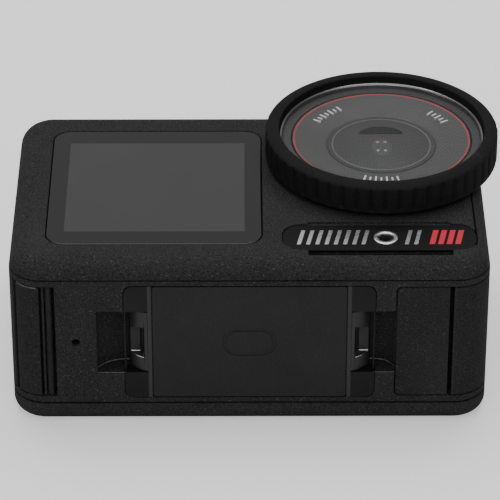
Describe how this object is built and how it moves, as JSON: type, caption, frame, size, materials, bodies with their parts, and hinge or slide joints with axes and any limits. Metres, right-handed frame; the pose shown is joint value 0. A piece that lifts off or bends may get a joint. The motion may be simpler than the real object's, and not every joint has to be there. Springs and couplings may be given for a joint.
{
  "type": "action camera",
  "caption": "Small box-shaped action camera with front and rear screens, a rubber-ringed wide lens, sealed side covers and a quick-release base.",
  "frame": {"origin": "centre of the rear face, on the rear screen glass", "axes": "+Z out of the lens at right angles to both screens, +X towards the USB side (the camera's long side), +Y towards the shutter button, -Y out of the quick-release face"},
  "size_m": [0.0732, 0.048, 0.0331],
  "materials": {
    "body_plastic": "fine moulded grain",
    "cover_plastic": "fine moulded grain",
    "smooth_plastic": "satin",
    "plate_black": "satin",
    "rubber": "moulded silicone",
    "screen_glass": "polished, black backed",
    "display": "satin",
    "clear_glass": "coated, polished",
    "fascia": "satin",
    "black_metal": "black anodised",
    "bright_metal": "turned",
    "steel": "stamped",
    "board": "solder mask",
    "chip": "moulded",
    "gold": "plated",
    "red": "satin"
  },
  "bodies": {
    "camera_body": {"main_housing": "body_plastic", "front_cover": "body_plastic", "rear_bezel": "body_plastic", "front_screen_glass": "screen_glass", "front_display_panel": "display", "rear_screen_glass": "screen_glass", "rear_display_panel": "display", "name_plate": "plate_black", "lens_mount_ring": "black_metal", "lens_fascia": "fascia", "lens_barrel": "black_metal", "lens_front_element": "clear_glass", "lens_middle_element": "clear_glass", "lens_rear_element": "clear_glass", "lens_bracket": "steel", "infrared_filter": "clear_glass", "image_sensor": "chip", "sensor_board": "board", "battery_hinge_pin": "steel", "battery_tray": "steel", "battery_contacts": "gold", "card_socket": "steel", "usb_hinge_pin": "steel", "usb_hinge_panel": "cover_plastic", "usb_socket": "steel", "mount_plate": "smooth_plastic", "mount_pad": "cover_plastic", "mount_claw_left": "black_metal", "mount_claw_right": "black_metal", "magnet_left": "steel", "magnet_right": "steel", "chassis_plate": "steel", "main_board": "board", "processor": "chip", "heat_spreader": "steel", "speaker": "chip", "case_screw_1": "steel", "case_screw_2": "steel", "case_screw_3": "steel", "case_screw_4": "steel", "front_microphone": "chip", "front_microphone_ring": "bright_metal", "bottom_microphone": "chip", "shutter_trim_ring": "red", "shutter_switch": "steel", "power_switch": "steel"},
    "battery_door": {"battery_door_panel": "cover_plastic", "battery_door_leaf": "cover_plastic", "battery_door_seal": "rubber"},
    "battery_latch": {"battery_latch": "smooth_plastic"},
    "battery": {"battery": "smooth_plastic"},
    "memory_card": {"memory_card": "chip"},
    "usb_cover": {"usb_cover": "cover_plastic", "usb_cover_seal": "rubber"},
    "shutter_button": {"shutter_button": "smooth_plastic"},
    "power_button": {"power_button": "smooth_plastic"},
    "lens_cover_lift": {"lens_cover_seal": "rubber"},
    "lens_cover_turn": {"lens_cover_ring": "black_metal", "lens_cover_glass": "clear_glass", "rubber_lens_bumper": "rubber"}
  },
  "joints": [
    {"name": "battery_door_hinge", "type": "hinge", "parent": "camera_body", "child": "battery_door", "pos_m": [-0.0293, -0.02135, 0.0143], "axis": [0, 0, 1], "range_deg": [0, 100]},
    {"name": "battery_latch_slide", "type": "slide", "parent": "battery_door", "child": "battery_latch", "axis": [0, -1, 0], "range_m": [0, 0.0019]},
    {"name": "battery_slide", "type": "slide", "parent": "camera_body", "child": "battery", "axis": [-1, 0, 0], "range_m": [0, 0.005]},
    {"name": "memory_card_push", "type": "slide", "parent": "camera_body", "child": "memory_card", "axis": [1, 0, 0], "range_m": [0, 0.0008], "stiffness_N_per_m": 600},
    {"name": "usb_cover_hinge", "type": "hinge", "parent": "camera_body", "child": "usb_cover", "pos_m": [0.03075, -0.02105, 0.0143], "axis": [0, 0, -1], "range_deg": [0, 100]},
    {"name": "shutter_button_push", "type": "slide", "parent": "camera_body", "child": "shutter_button", "axis": [0, -1, 0], "range_m": [0, 0.0006], "stiffness_N_per_m": 1500},
    {"name": "power_button_push", "type": "slide", "parent": "camera_body", "child": "power_button", "axis": [-1, 0, 0], "range_m": [0, 0.0005], "stiffness_N_per_m": 1500},
    {"name": "lens_cover_lift", "type": "slide", "parent": "camera_body", "child": "lens_cover_lift", "axis": [0, 0, 1], "range_m": [0, 0.0016]},
    {"name": "lens_cover_unscrew", "type": "hinge", "parent": "lens_cover_lift", "child": "lens_cover_turn", "pos_m": [0.0201, 0.0083, 0.03], "axis": [0, 0, 1], "range_deg": [0, 720]}
  ],
  "couplings": [
    {"joint": "battery_door_hinge", "follows": "battery_slide", "rad_per_m": 349},
    {"joint": "lens_cover_unscrew", "follows": "lens_cover_lift", "rad_per_m": 7853}
  ]
}
